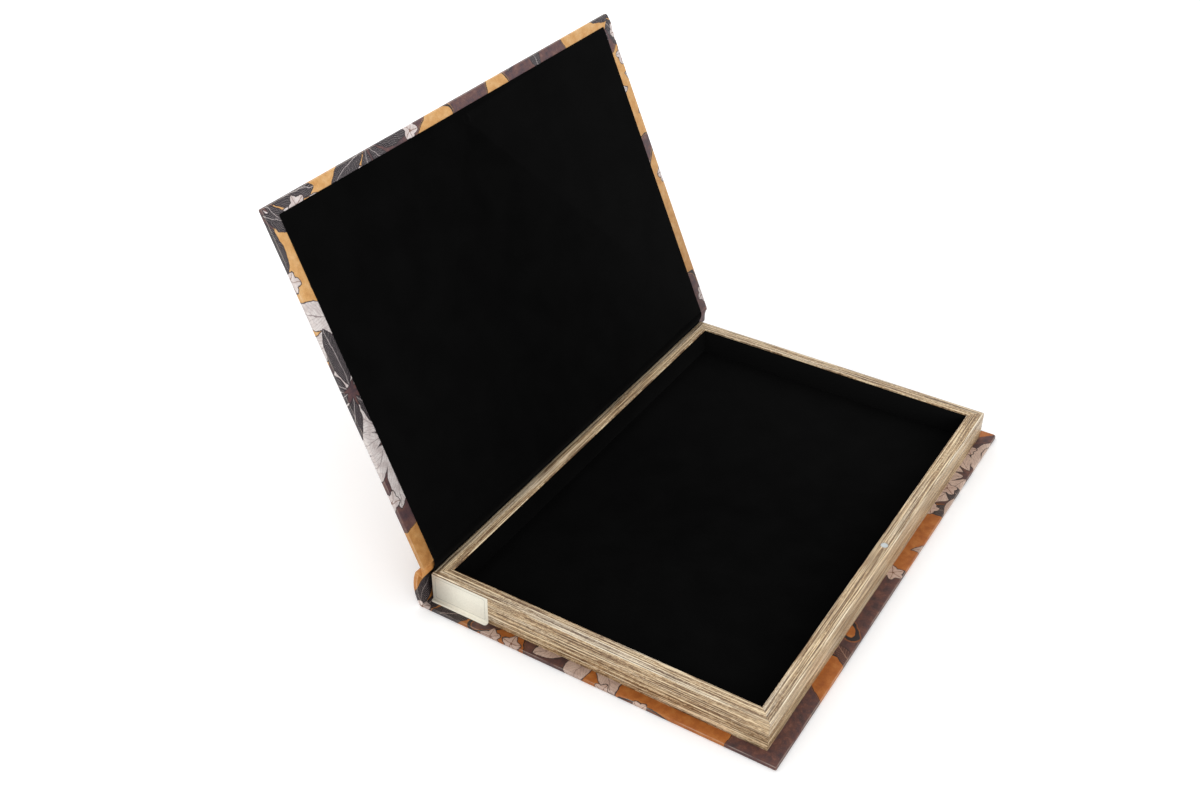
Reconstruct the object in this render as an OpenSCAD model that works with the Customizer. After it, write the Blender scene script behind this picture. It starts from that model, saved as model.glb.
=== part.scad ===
// Book box: a hard cover case with a tray of mitred rails inside
// Millimetres, Z up. X runs from the spine to the fore edge, Y from the tail to the head.
// The origin is the centre of the tray's plan, on the surface that the box lies on.

/* [Tray] */
// Outer width of the tray, from spine side to fore edge
tray_w = 240; // [170:5:320]
// Outer length of the tray, from tail to head
tray_l = 360; // [220:5:420]
// Height of the rails over the back cover
tray_h = 22; // [16:1:60]
// Width of a rail, seen from above
rail_w = 10; // [8:0.5:20]
// Radius of a rail's outer top shoulder
shoulder_r = 1.2; // [0.4:0.1:3]
// Radius of a rail's inner top edge
inner_r = 0.6; // [0.2:0.1:1.5]
// Thickness of the card panel that closes the tray's underside
panel_t = 1.5; // [1:0.1:3]
// Play between the panel and the rails
panel_play = 0.2; // [0:0.1:0.5]

/* [Case boards] */
// Thickness of the bare greyboard
board_t = 2.4; // [1.5:0.1:4]
// Thickness of the printed sheet that covers the boards
wrap_t = 0.3; // [0.2:0.05:0.6]
// How far the covers pass the tray at the fore edge
fore_over = 10; // [3:0.5:16]
// How far the covers pass the tray at the head and the tail
end_over = 8.5; // [3:0.5:14]
// How far the back board passes the tray on the spine side
hinge_lip = 1; // [0:0.1:2]
// Width of the sheet's turn-in on the boards' inner side
turn_in = 18; // [12:0.5:22]
// Radius of the covers' corners, seen from above
corner_r = 2; // [1:0.1:3]
// Radius of the bare boards' edges
board_edge_r = 0.5; // [0.2:0.1:0.9]

/* [Spine] */
// Distance from the tray to the spine's outer face, at its top edge
spine_top_out = 7; // [6:0.1:10]
// The same distance at its foot
spine_foot_out = 5.5; // [5:0.1:8]
// How far the spine stands above the rails
spine_rise = 2.6; // [1:0.1:4]
// Height of the spine's lower edge over the surface that the box lies on
spine_foot_z = 0.8; // [0.5:0.1:2]
// How far the spine is rounded outward between its edges
spine_bulge = 2.7; // [1:0.1:5]
// Distance from the tray to the bottom of the groove beside its spine side
groove_out = 1.4; // [0.8:0.1:2.5]
// Height of the bottom of the groove over the rails
groove_rise = 1.6; // [1:0.1:3]

/* [Lid] */
// Opening angle of the lid, where 0 is closed
lid_angle = 113.5; // [0:0.5:186]
// Distance from the hinge line to the front board's edge
lid_joint = 4.5; // [3:0.1:6]
// How far the hinge line lies outside the tray
axis_out = 0.7; // [0:0.1:2]
// How far the hinge line lies over the closed lid's outer face
axis_rise = 0.5; // [0:0.1:1.5]
// Gap between the closed lid's lining and the rails
lid_gap = 0.6; // [0.4:0.1:1.5]

/* [Linings] */
// Thickness of the velvet on the lid, over the turn-ins
lid_lining_t = 0.5; // [0.3:0.1:1]
// Bare turn-in between the lid lining and the fore edge
lid_lining_fore = 7.7; // [4:0.1:11]
// How far the lid lining stops short of the tray's ends
lid_lining_end = 1.9; // [0:0.1:6]
// Thickness of the velvet in the tray
tray_lining_t = 0.6; // [0.3:0.1:1.2]
// Bare rail above the tray's wall linings
lining_drop = 0.8; // [0.7:0.1:3]
// Height of the hinge lining that is glued to the tray's spine side
hinge_tail = 12; // [4:0.5:14]

/* [Magnets] */
// Diameter of the two disc magnets
magnet_d = 5; // [3:0.5:7]
// Thickness of the two disc magnets
magnet_t = 2; // [1:0.1:2]
// Play round a magnet in its bore
magnet_play = 0.1; // [0.05:0.05:0.3]
// How far the rail's magnet lies under the rail's top
magnet_sink = 0.1; // [0:0.05:0.3]
// How far the lid's magnet stands out of its board
magnet_proud = 0.7; // [0.5:0.1:0.8]
// Width of the velvet's slope round the lid's magnet
bump_slope = 1; // [0.5:0.1:2]

/* [Label] */
// Width of the sticker on the tail rail
label_w = 43.5; // [20:0.5:60]
// Thickness of the sticker
label_t = 0.15; // [0.1:0.05:0.3]
// How far the sticker's lower edge laps onto the back cover
label_lap = 3; // [1:0.1:5]
// Radius of the sticker's lower corners
label_r = 1.8; // [0.5:0.1:3]

/* [Hidden] */
$fn = 64;

// Overlap of a cutting shape past what it cuts
eps = 1;
// Gap where a bending sheet ends against the lid
seam = 0.05;
// Thickness of a covered board
cover_t = board_t + 2 * wrap_t;
// The tray's sides and top
tray_x0 = -tray_w / 2;
tray_x1 = tray_w / 2;
tray_z1 = cover_t + tray_h;
// The covers' outline
cover_x0 = tray_x0 - hinge_lip;
cover_x1 = tray_x1 + fore_over;
cover_l = tray_l + 2 * end_over;
// Inside of the rails
well_w = tray_w - 2 * rail_w;
well_l = tray_l - 2 * rail_w;
floor_z = cover_t + panel_t + tray_lining_t;
// Closed lid: its lining's face, the turn-ins' face and the outer face
lid_face = tray_z1 + lid_gap;
lid_z0 = lid_face + lid_lining_t;
lid_z1 = lid_z0 + cover_t;
// The hinge line
axis_x = tray_x0 - axis_out;
axis_z = lid_z1 + axis_rise;
lid_x0 = axis_x + lid_joint;
lid_mid_x = (lid_x0 + cover_x1) / 2;
// Both magnets lie over the middle of the fore edge rail
magnet_x = tray_x1 - rail_w / 2;
lining_l = tray_l - 2 * lid_lining_end;

// The spine's outer face is an arc through its top and foot
spine_top = [tray_x0 - spine_top_out, tray_z1 + spine_rise];
spine_foot = [tray_x0 - spine_foot_out, spine_foot_z];
spine_chord = norm(spine_top - spine_foot);
spine_r = (pow(spine_chord / 2, 2) + pow(spine_bulge, 2)) / (2 * spine_bulge);
spine_dir = (spine_top - spine_foot) / spine_chord;
spine_side = [spine_dir[1], -spine_dir[0]];
spine_c = (spine_top + spine_foot) / 2 + (spine_r - spine_bulge) * spine_side;
spine_half = asin(spine_chord / 2 / spine_r);
spine_lean = atan2(spine_dir[0], spine_dir[1]);
spine_a0 = 180 - spine_lean - spine_half;
spine_a1 = 180 - spine_lean + spine_half;

function arc_point(r, a) = spine_c + r * [cos(a), sin(a)];
// A point of the closed lid, carried to where the open lid has it
function lid_point(x, z) =
    [axis_x + (x - axis_x) * cos(lid_angle) - (z - axis_z) * sin(lid_angle),
     axis_z + (x - axis_x) * sin(lid_angle) + (z - axis_z) * cos(lid_angle)];
function bezier(a, b, c, d, t) =
    pow(1 - t, 3) * a + 3 * t * pow(1 - t, 2) * b + 3 * t * t * (1 - t) * c + pow(t, 3) * d;
function unit(v) = v / norm(v);
function normal(v) = [-v[1], v[0]];
// Points after a of a bend that leaves a along u and reaches d along v, with handles of ka and kd times its chord
function bend(a, u, ka, d, v, kd, steps) = let (c = norm(d - a))
    [for (i = [1 : steps]) bezier(a, a + ka * c * u, d - kd * c * v, d, i / steps)];
// Direction of a path at point i
function heading(p, i) = unit(p[min(i + 1, len(p) - 1)] - p[max(i - 1, 0)]);

// Sheet of even thickness along a path in the XZ plane, as an outline
module sheet_outline(path, t)
    polygon(concat([for (i = [0 : len(path) - 1]) path[i] + t / 2 * normal(heading(path, i))],
                   [for (i = [len(path) - 1 : -1 : 0]) path[i] - t / 2 * normal(heading(path, i))]));

// Outline in the XZ plane, drawn out along Y and centred
module along_y(length) rotate([90, 0, 0]) linear_extrude(length, center = true) children();

// Carries the closed lid's pieces to where the open lid has them
module on_lid()
    translate([axis_x, 0, axis_z]) rotate([0, -lid_angle, 0]) translate([-axis_x, 0, -axis_z])
        children();

// Outline in the YZ plane, drawn out along X from x0 to x1
module along_x(x0, x1) translate([x0, 0, 0]) rotate([90, 0, 90]) linear_extrude(x1 - x0) children();

// Outline that is square at x0 and has rounded corners at x1
module round_end(x0, x1, width, r) {
    translate([x0, -width / 2]) square([x1 - x0 - r, width]);
    translate([x1 - 2 * r, r - width / 2]) square([2 * r, width - 2 * r]);
    for (s = [-1, 1]) translate([x1 - r, s * (width / 2 - r)]) circle(r);
}

// Plate from z = 0 up, square on the hinge side, with round corners in plan and round edges
module cover_plate(x0, x1, length, t, edge, corner) intersection() {
    linear_extrude(t) round_end(x0, x1, length, corner);
    translate([0, 0, t / 2]) along_y(length) round_end(x0, x1, t, edge);
    translate([0, 0, t / 2]) along_x(x0, x1) {
        round_end(0, length / 2, t, edge);
        mirror([1, 0]) round_end(0, length / 2, t, edge);
    }
}

// Bare board of a cover whose sheet starts at z0
module cover_board(x0, z0) translate([0, 0, z0 + wrap_t])
    cover_plate(x0, cover_x1 - wrap_t, cover_l - 2 * wrap_t, board_t, board_edge_r, corner_r - wrap_t);

// Printed sheet of a cover: one face, three edges and the turn-ins of the other face
module cover_wrap(x0, z0, inner_up) difference() {
    translate([0, 0, z0]) cover_plate(x0, cover_x1, cover_l, cover_t, board_edge_r + wrap_t, corner_r);
    cover_board(x0 - eps, z0);
    translate([0, 0, inner_up ? z0 + wrap_t : z0 - eps]) wrap_window(x0);
}

// Bare part of a board between its turn-ins, high enough to cut one layer of sheet
module wrap_window(x0)
    translate([x0 - eps, turn_in - cover_l / 2, 0])
        cube([cover_x1 - turn_in - x0 + eps, cover_l - 2 * turn_in, board_t + wrap_t + eps]);

// Rail section: X across the rail with its outer face at 0, Y up
module rail_section() {
    square([rail_w, tray_h - shoulder_r]);
    translate([shoulder_r, 0]) square([rail_w - shoulder_r - inner_r, tray_h]);
    translate([shoulder_r, tray_h - shoulder_r]) circle(shoulder_r);
    translate([rail_w - inner_r, tray_h - inner_r]) circle(inner_r);
    translate([rail_w / 2, 0]) square([rail_w / 2, tray_h - inner_r]);
}

// Mitred rail along Y with its outer face at x = 0, facing -X
module rail(length) intersection() {
    along_y(length) rail_section();
    linear_extrude(tray_h)
        polygon([[0, -length / 2], [rail_w, rail_w - length / 2],
                 [rail_w, length / 2 - rail_w], [0, length / 2]]);
}

module rail_colour() color("#c8b28c") children();
module velvet() color("#0d0d0e") children();
module greyboard() color("#8d877d") children();
module print_brown() color("#5a4244") children();
module print_amber() color("#c98746") children();

module back_board() greyboard() cover_board(cover_x0, 0);

module back_cover_wrap() print_brown() cover_wrap(cover_x0, 0, true);

// Sheet under the gap between the back board and the spine, turned up to the spine's foot
module back_joint() print_amber() {
    foot = arc_point(spine_r - wrap_t / 2, spine_a1);
    down = [-sin(spine_a1), cos(spine_a1)];
    start = foot + wrap_t * down;
    flat = [foot[0] + 2 * spine_foot_z + wrap_t, wrap_t / 2];
    path = concat([foot, start], bend(start, down, 0.2, flat, [1, 0], 0.4, 8), [[cover_x0, wrap_t / 2]]);
    along_y(cover_l) sheet_outline(path, wrap_t);
}

// Slice of the spine between two radii
module spine_slice(r0, r1) intersection() {
    difference() {
        translate(spine_c) circle(r1, $fn = 180);
        translate(spine_c) circle(r0, $fn = 180);
    }
    reach = 2 * spine_r;
    polygon([spine_c, spine_c + reach * [cos(spine_a0), sin(spine_a0)],
             spine_c + reach * [cos(spine_a1), sin(spine_a1)]]);
}

module spine_board() greyboard()
    along_y(cover_l - 2 * wrap_t) spine_slice(spine_r - wrap_t - board_t, spine_r - wrap_t);

// Printed sheet of the spine: its outer face, both ends and the turn-ins inside
module spine_wrap() print_brown() {
    along_y(cover_l) spine_slice(spine_r - wrap_t, spine_r);
    for (s = [-1, 1]) {
        translate([0, s * (cover_l - wrap_t) / 2, 0])
            along_y(wrap_t) spine_slice(spine_r - cover_t, spine_r - wrap_t);
        translate([0, s * (cover_l - turn_in) / 2, 0])
            along_y(turn_in) spine_slice(spine_r - cover_t, spine_r - cover_t + wrap_t);
    }
}

// Bending sheet: over the spine's top, down to the tray's edge, up to the front board
module front_joint() print_amber() {
    top = arc_point(spine_r - wrap_t / 2, spine_a0);
    up = [sin(spine_a0), -cos(spine_a0)];
    start = top + wrap_t * up;
    groove = [tray_x0 - groove_out, tray_z1 + groove_rise];
    slope = unit([2, -1]);
    along_lid = [cos(lid_angle), sin(lid_angle)];
    edge = lid_point(lid_x0 - seam, lid_z1 - wrap_t / 2);
    path = concat([top, start], bend(start, up, 0.24, groove, slope, 0.64, 12),
                  bend(groove, slope, 0.2, edge - wrap_t * along_lid, along_lid, 0.45, 12), [edge]);
    along_y(cover_l) sheet_outline(path, wrap_t);
}

// Velvet over the joint: glued to the tray's spine side, bent, and up to the lid's lining
module hinge_lining() velvet() {
    side = tray_x0 - lid_lining_t / 2;
    along_lid = [cos(lid_angle), sin(lid_angle)];
    corner = [side, tray_z1 - shoulder_r / 2];
    edge = lid_point(lid_x0 - seam, lid_z0 - lid_lining_t / 2);
    path = concat([[side, tray_z1 - hinge_tail], corner],
                  bend(corner, [0, 1], 0.3, edge - lid_lining_t * along_lid, along_lid, 0.45, 12), [edge]);
    along_y(lining_l) sheet_outline(path, lid_lining_t);
}

module fore_edge_rail() rail_colour() difference() {
    translate([tray_x1, 0, cover_t]) rotate([0, 0, 180]) rail(tray_l);
    translate([magnet_x, 0, tray_z1 - magnet_sink - magnet_t])
        cylinder(d = magnet_d + 2 * magnet_play, h = magnet_t + magnet_sink + eps);
}

module spine_rail() rail_colour() translate([tray_x0, 0, cover_t]) rail(tray_l);

module tail_rail() rail_colour() translate([0, -tray_l / 2, cover_t]) rotate([0, 0, 90]) rail(tray_w);

module head_rail() rail_colour() translate([0, tray_l / 2, cover_t]) rotate([0, 0, -90]) rail(tray_w);

module base_panel() greyboard()
    translate([0, 0, cover_t + panel_t / 2])
        cube([well_w - 2 * panel_play, well_l - 2 * panel_play, panel_t], center = true);

// Velvet on the tray's floor
module floor_lining() velvet()
    translate([0, 0, cover_t + panel_t + tray_lining_t / 2])
        cube([well_w - 2 * panel_play, well_l - 2 * panel_play, tray_lining_t], center = true);

// Velvet strip on one inner wall, standing on the floor's velvet
module wall_lining(length)
    translate([0, -length / 2, floor_z])
        cube([tray_lining_t, length, tray_z1 - lining_drop - floor_z]);

module spine_lining() velvet() translate([tray_x0 + rail_w, 0, 0]) wall_lining(well_l);

module fore_edge_lining() velvet() mirror([1, 0, 0]) translate([-tray_x1 + rail_w, 0, 0]) wall_lining(well_l);

// The end walls' strips fit between those of the long walls
module tail_lining() velvet()
    translate([0, rail_w - tray_l / 2, 0]) rotate([0, 0, 90]) wall_lining(well_w - 2 * tray_lining_t);

module head_lining() velvet()
    translate([0, tray_l / 2 - rail_w, 0]) rotate([0, 0, -90]) wall_lining(well_w - 2 * tray_lining_t);

module magnet() cylinder(d = magnet_d, h = magnet_t);

module rail_magnet() color("#d5dde0") translate([magnet_x, 0, tray_z1 - magnet_sink - magnet_t]) magnet();

// Sticker on the tail rail, its lower edge folded onto the back cover
module label_sticker() color("#e9e4d4") translate([tray_x0, -tray_l / 2, cover_t]) {
    lap = label_lap + label_t;
    translate([0, -label_t, 0]) cube([label_w, label_t, tray_h - shoulder_r]);
    linear_extrude(label_t) intersection() {
        translate([0, -lap]) square([label_w, lap]);
        union() {
            translate([0, label_r - lap]) square([label_w, lap]);
            translate([label_r, -lap]) square([label_w - 2 * label_r, lap]);
            for (x = [label_r, label_w - label_r]) translate([x, label_r - lap]) circle(label_r);
        }
    }
}

// Pocket for the lid's magnet, through the turn-in and into the front board
module lid_bore()
    translate([magnet_x, 0, lid_z0 - eps])
        cylinder(d = magnet_d + 2 * magnet_play, h = eps + wrap_t + magnet_t - magnet_proud);

module front_board() greyboard() on_lid() difference() {
    cover_board(lid_x0, lid_z0);
    lid_bore();
}

module front_cover_wrap() print_brown() on_lid() difference() {
    cover_wrap(lid_x0, lid_z0, false);
    lid_bore();
}

// Velvet on the lid: over the turn-ins, down onto the bare board and up over the magnet
module lid_lining() velvet() on_lid() {
    low_r = magnet_d / 2 + magnet_play;
    bump_h = magnet_proud - wrap_t;
    fill_l = min(lining_l, cover_l - 2 * turn_in);
    difference() {
        union() {
            translate([lid_x0, -lining_l / 2, lid_face])
                cube([cover_x1 - lid_lining_fore - lid_x0, lining_l, lid_lining_t]);
            translate([lid_x0, -fill_l / 2, lid_z0]) cube([cover_x1 - turn_in - lid_x0, fill_l, wrap_t]);
            translate([magnet_x, 0, lid_face - bump_h])
                cylinder(r1 = low_r, r2 = low_r + bump_slope, h = bump_h);
        }
        translate([magnet_x, 0, lid_z0 + wrap_t - magnet_proud]) cylinder(r = low_r, h = magnet_proud + eps);
    }
}

module lid_magnet() color("#d5dde0") on_lid()
    translate([magnet_x, 0, lid_z0 + wrap_t - magnet_proud]) magnet();

back_board();
back_cover_wrap();
back_joint();
spine_board();
spine_wrap();
front_joint();
hinge_lining();
fore_edge_rail();
head_rail();
tail_rail();
spine_rail();
base_panel();
floor_lining();
fore_edge_lining();
head_lining();
tail_lining();
spine_lining();
rail_magnet();
label_sticker();
front_board();
front_cover_wrap();
lid_lining();
lid_magnet();
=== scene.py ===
"""Book box: a hard cover case round a shallow tray, shown open.

The case is greyboard covered in one printed sheet, the tray has mitred rails wrapped in
page-edge foil, and everything inside is lined with black velvet.
"""

import math

import bmesh
import bpy
from mathutils import Matrix, Vector


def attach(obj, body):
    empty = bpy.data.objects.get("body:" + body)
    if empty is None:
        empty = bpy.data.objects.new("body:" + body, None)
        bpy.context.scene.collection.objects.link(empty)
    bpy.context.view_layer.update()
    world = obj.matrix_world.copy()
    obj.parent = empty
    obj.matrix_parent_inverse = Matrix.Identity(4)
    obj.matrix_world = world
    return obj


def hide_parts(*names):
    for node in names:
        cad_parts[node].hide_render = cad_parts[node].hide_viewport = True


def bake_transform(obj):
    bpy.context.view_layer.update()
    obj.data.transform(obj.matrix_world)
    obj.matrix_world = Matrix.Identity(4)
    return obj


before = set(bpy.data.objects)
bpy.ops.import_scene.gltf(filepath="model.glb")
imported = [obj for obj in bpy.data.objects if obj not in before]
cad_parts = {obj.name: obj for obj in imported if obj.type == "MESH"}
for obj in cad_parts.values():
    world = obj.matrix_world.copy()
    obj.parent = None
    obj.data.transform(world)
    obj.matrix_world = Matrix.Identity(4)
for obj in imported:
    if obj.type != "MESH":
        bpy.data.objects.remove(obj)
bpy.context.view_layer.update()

MM = 0.001

# Sizes in millimetres, as the solids have them
TRAY_X = 120.0
TRAY_Y = 180.0
TRAY_Z0 = 3.0
TRAY_TOP = 25.0
RAIL_WIDTH = 10.0
RAIL_SHOULDER = 1.2
PANEL_TOP = 4.5
PANEL_PLAY = 0.2
BOARD_THICK = 3.0
SHEET = 0.3
EDGE_ROUND = 0.8
CORNER_ROUND = 2.0
TAIL_CORNER_ROUND = 1.0
COVER_Y = 188.5
FORE_X = 130.0
BACK_X0 = -121.0
TURN_IN = 18.0
LID_X0 = -116.2
LID_Z0 = 26.1
HINGE = (-120.7, 29.6)
LID_ANGLE = math.radians(113.5)
SPINE_TOP = (-127.0, 27.6)
SPINE_FOOT = (-125.5, 0.8)
SPINE_BULGE = 2.7
GROOVE = (-121.4, 26.6)
GROOVE_SLOPE = (2 / math.sqrt(5), -1 / math.sqrt(5))
LINING_Y = 178.1
LINING_THICK = 0.5
LINING_FORE = 7.7
TRAY_LINING = 0.6
LINING_DROP = 0.8
LINING_TAIL = 12.0
MAGNET_X = 115.0
MAGNET_R = 2.5
MAGNET_THICK = 2.0
MAGNET_SINK = 0.1
BUMP_FOOT = 3.6
BUMP_RISE = 0.4
LABEL_W = 43.5
LABEL_LAP = 3.15
LABEL_THICK = 0.15
LABEL_ROUND = 1.8
# The sheet in the joints, drawn thinner so that its folded layers stay apart in the bends
JOINT_SHEET = 0.8 * SHEET
# The paper folded over the front cover's head corner: from the fore edge, how far it stands proud
PROUD_FOLD = ((0.0, 0.0), (3.0, 0.5), (8.0, 1.6), (11.5, 0.9), (14.7, -0.25), (15.1, 0.7), (TURN_IN, 0.0))
# How deep the sheet's fold is over the spine's ends, and the length in which it thins past them
SPINE_FOLD = 1.3
SPINE_FOLD_FADE = 1.5
# How far the joint's sheet hangs past the tray's head end, where that starts and over what length
HEAD_SAG = 6.0
SAG_FROM_Y = TRAY_Y - 4.0
SAG_LENGTH_Y = 9.0
# It starts past the spine's inner face, and below a height on the lid's side
SAG_FROM_X = SPINE_TOP[0] + BOARD_THICK
SAG_LENGTH_X = 2.6
SAG_TOP = 32.0
SAG_LENGTH_Z = 4.0
# Where the printed pattern falls on the sheet
PRINT_SHIFT = (2850.0, 2550.0, 0.0)

# Where the pieces lie on the flat printed sheet, from the spine's middle line
SPINE_HALF = 13.78
FRONT_U = 28.1
BACK_U = -18.7


# Shapes


def lid_open(x, z):
    """Where a point of the closed lid's section lies when the lid stands open."""
    dx, dz = x - HINGE[0], z - HINGE[1]
    c, s = math.cos(LID_ANGLE), math.sin(LID_ANGLE)
    return (HINGE[0] + dx * c - dz * s, HINGE[1] + dx * s + dz * c)


def lid_matrix():
    """The turn from the closed lid to the open one, in millimetres."""
    to_hinge = Matrix.Translation((HINGE[0], 0, HINGE[1]))
    return to_hinge @ Matrix.Rotation(-LID_ANGLE, 4, "Y") @ to_hinge.inverted()


def bend(a, u, ka, d, v, kd, steps):
    """Points after a of a bend that leaves a along u and reaches d along v.

    It holds to these directions for the shares ka and kd of the distance between a and d.
    """
    chord = math.dist(a, d)
    b = (a[0] + ka * chord * u[0], a[1] + ka * chord * u[1])
    c = (d[0] - kd * chord * v[0], d[1] - kd * chord * v[1])
    points = []
    for i in range(1, steps + 1):
        t = i / steps
        shares = ((1 - t) ** 3, 3 * t * (1 - t) ** 2, 3 * t * t * (1 - t), t**3)
        points.append(tuple(sum(w * p[k] for w, p in zip(shares, (a, b, c, d))) for k in (0, 1)))
    return points


def normals(path):
    """Left-hand normals along a path in the XZ plane."""
    out = []
    for i in range(len(path)):
        a, b = path[max(i - 1, 0)], path[min(i + 1, len(path) - 1)]
        size = math.dist(a, b)
        out.append((-(b[1] - a[1]) / size, (b[0] - a[0]) / size))
    return out


def moved_out(path, distance):
    """The path moved along its left-hand normals."""
    return [(p[0] + distance * n[0], p[1] + distance * n[1]) for p, n in zip(path, normals(path))]


def lengths(points):
    """Length along a chain of points, at each of them."""
    out = [0.0]
    for a, b in zip(points, points[1:]):
        out.append(out[-1] + math.dist(a, b))
    return out


def finish_piece(name, bm, material, node, body="base", blend=None, sharp=38):
    """Makes a piece of a mesh in millimetres, in place of a solid, and hangs it on its body."""
    bmesh.ops.transform(bm, matrix=Matrix.Scale(MM, 4), verts=bm.verts)
    mesh = bpy.data.meshes.new(name)
    bm.to_mesh(mesh)
    bm.free()
    mesh.materials.append(material)
    piece = bpy.data.objects.new(name, mesh)
    bpy.context.scene.collection.objects.link(piece)
    mesh.shade_smooth()
    mesh.set_sharp_from_angle(angle=math.radians(sharp))
    if blend:
        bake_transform(piece)
    else:
        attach(piece, body)
    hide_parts(node)
    return piece


def thicken(piece, thickness, even=True):
    """Gives a sheet its thickness, behind its face."""
    solid = piece.modifiers.new("thickness", "SOLIDIFY")
    solid.thickness = thickness * MM
    solid.offset = -1
    solid.use_even_offset = even


def folded_ends(depths, flap, steps=4, rows=14):
    """Section of a sheet as (y, depth): over the outer face, round both ends and in again.

    The fold is as deep as given at the tail and the head. The flap behind it lies at its own depth,
    where the tray starts.
    """
    ends = []
    for depth in depths:
        radius = min(EDGE_ROUND, depth / 2)
        quarter = [math.pi / 2 * i / steps for i in range(steps + 1)]
        end = [(COVER_Y - radius + radius * math.sin(a), radius - radius * math.cos(a)) for a in quarter]
        end += [(COVER_Y - radius + radius * math.cos(a), depth - radius + radius * math.sin(a))
                for a in quarter[1:]]
        ends.append(end + [(COVER_Y - 3.5, (2 * depth + flap) / 3), (TRAY_Y + 0.8, flap),
                           (COVER_Y - TURN_IN, flap)])
    flat = [(COVER_Y - EDGE_ROUND) * (2 * i / rows - 1) for i in range(1, rows)]
    return [(-y, d) for y, d in reversed(ends[0])] + [(y, 0.0) for y in flat] + ends[1]


def plain_ends(half, thick, rows=14):
    """Section of a cloth strip as (y, depth), with its cut edges turned a little."""
    edge = [(half - 0.3 * thick, 0.0), (half, 0.35 * thick), (half, thick)]
    flat = [(half - thick) * (2 * i / rows - 1) for i in range(1, rows)]
    return [(-y, d) for y, d in reversed(edge)] + [(y, 0.0) for y in flat] + edge


def sweep(path, sections, outward, u_start=0.0):
    """Draws sections along a path in the XZ plane, with the flat sheet's coordinates in a map."""
    bm = bmesh.new()
    sheet = bm.loops.layers.uv.new("sheet")
    sides = [(outward * n[0], outward * n[1]) for n in normals(path)]
    along = lengths(path)
    across = []
    for section in sections:
        run = lengths(section)
        across.append([r - run[-1] / 2 for r in run])

    def place(i, j):
        y, depth = sections[i][j]
        return Vector((path[i][0] - depth * sides[i][0], y, path[i][1] - depth * sides[i][1]))

    row = [bm.verts.new(place(0, j)) for j in range(len(sections[0]))]
    edges = [bm.edges.new(pair) for pair in zip(row, row[1:])]
    where = {v: (0, j) for j, v in enumerate(row)}
    for i in range(1, len(path)):
        made = bmesh.ops.extrude_edge_only(bm, edges=edges)["geom"]
        edges = [g for g in made if isinstance(g, bmesh.types.BMEdge)]
        new = {v for e in edges for v in e.verts}
        for v in new:
            old = next(e.other_vert(v) for e in v.link_edges if e.other_vert(v) not in new)
            where[v] = (i, where[old][1])
            v.co = place(*where[v])
    for face in bm.faces:
        for loop in face.loops:
            i, j = where[loop.vert]
            loop[sheet].uv = (u_start + along[i], across[i][j])
    bm.normal_update()
    middle = min(bm.faces, key=lambda f: abs(f.calc_center_median().y))
    side = sides[where[middle.verts[0]][0]]
    if middle.normal.dot(Vector((side[0], 0, side[1]))) < 0:
        bmesh.ops.reverse_faces(bm, faces=bm.faces)
    return bm


def round_edge(d, h, r, t):
    """Length along a sheet from where it leaves the outer face, at d from the edge and h deep.

    The board is t thick, and its edge is rounded by r.
    """
    if h < r:
        return r - d if d >= r else r * math.atan2(r - d, r - h)
    if h <= t - r:
        return r * math.pi / 2 + h - r
    base = r * math.pi / 2 + t - 2 * r
    return base + r * math.pi / 2 + d - r if d >= r else base + r * math.atan2(h - t + r, r - d)


def box_mesh(low, high):
    """A box between two corners, as a mesh."""
    bm = bmesh.new()
    bmesh.ops.create_cube(bm, size=1)
    bmesh.ops.scale(bm, vec=Vector(high) - Vector(low), verts=bm.verts)
    bmesh.ops.translate(bm, vec=(Vector(high) + Vector(low)) / 2, verts=bm.verts)
    return bm


def cut(bm, point, normal):
    """Cuts all faces along a plane and keeps both sides."""
    bmesh.ops.bisect_plane(bm, geom=bm.verts[:] + bm.edges[:] + bm.faces[:], dist=1e-4,
                           plane_co=point, plane_no=Vector(normal).normalized())


def map_cover(bm, x0, outer_z, u_start, u_sign):
    """Gives a cover's sheet its flat coordinates in a map, over its edges and turn-ins too."""
    sheet = bm.loops.layers.uv.new("sheet")
    r, t = EDGE_ROUND, BOARD_THICK
    for face in bm.faces:
        c = face.calc_center_median()
        on_fore = FORE_X - c.x < COVER_Y - abs(c.y)
        on_outer = abs(c.z - outer_z) < 0.01
        for loop in face.loops:
            v = loop.vert.co
            h = abs(v.z - outer_z)
            u, w = v.x - FORE_X + r, abs(v.y) - COVER_Y + r
            if on_fore and not on_outer:
                u = round_edge(FORE_X - v.x, h, r, t)
            elif not on_outer:
                w = round_edge(COVER_Y - abs(v.y), h, r, t)
            sign = math.copysign(1, c.y)
            if on_fore or on_outer:
                sign, w = 1, v.y - COVER_Y + r
            loop[sheet].uv = (u_start + u_sign * (FORE_X - x0 - r + u), sign * (COVER_Y - r + w))


def raise_fold(bm):
    """Lets the paper stand proud at the fore edge's head corner, where it is folded over."""
    for v in [v for v in bm.verts if v.co.y > COVER_Y - 0.5]:
        back = FORE_X - v.co.x
        for (d0, rise0), (d1, rise1) in zip(PROUD_FOLD, PROUD_FOLD[1:]):
            if d0 <= back < d1:
                v.co.y += rise0 + (rise1 - rise0) * (back - d0) / (d1 - d0)
                break


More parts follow.
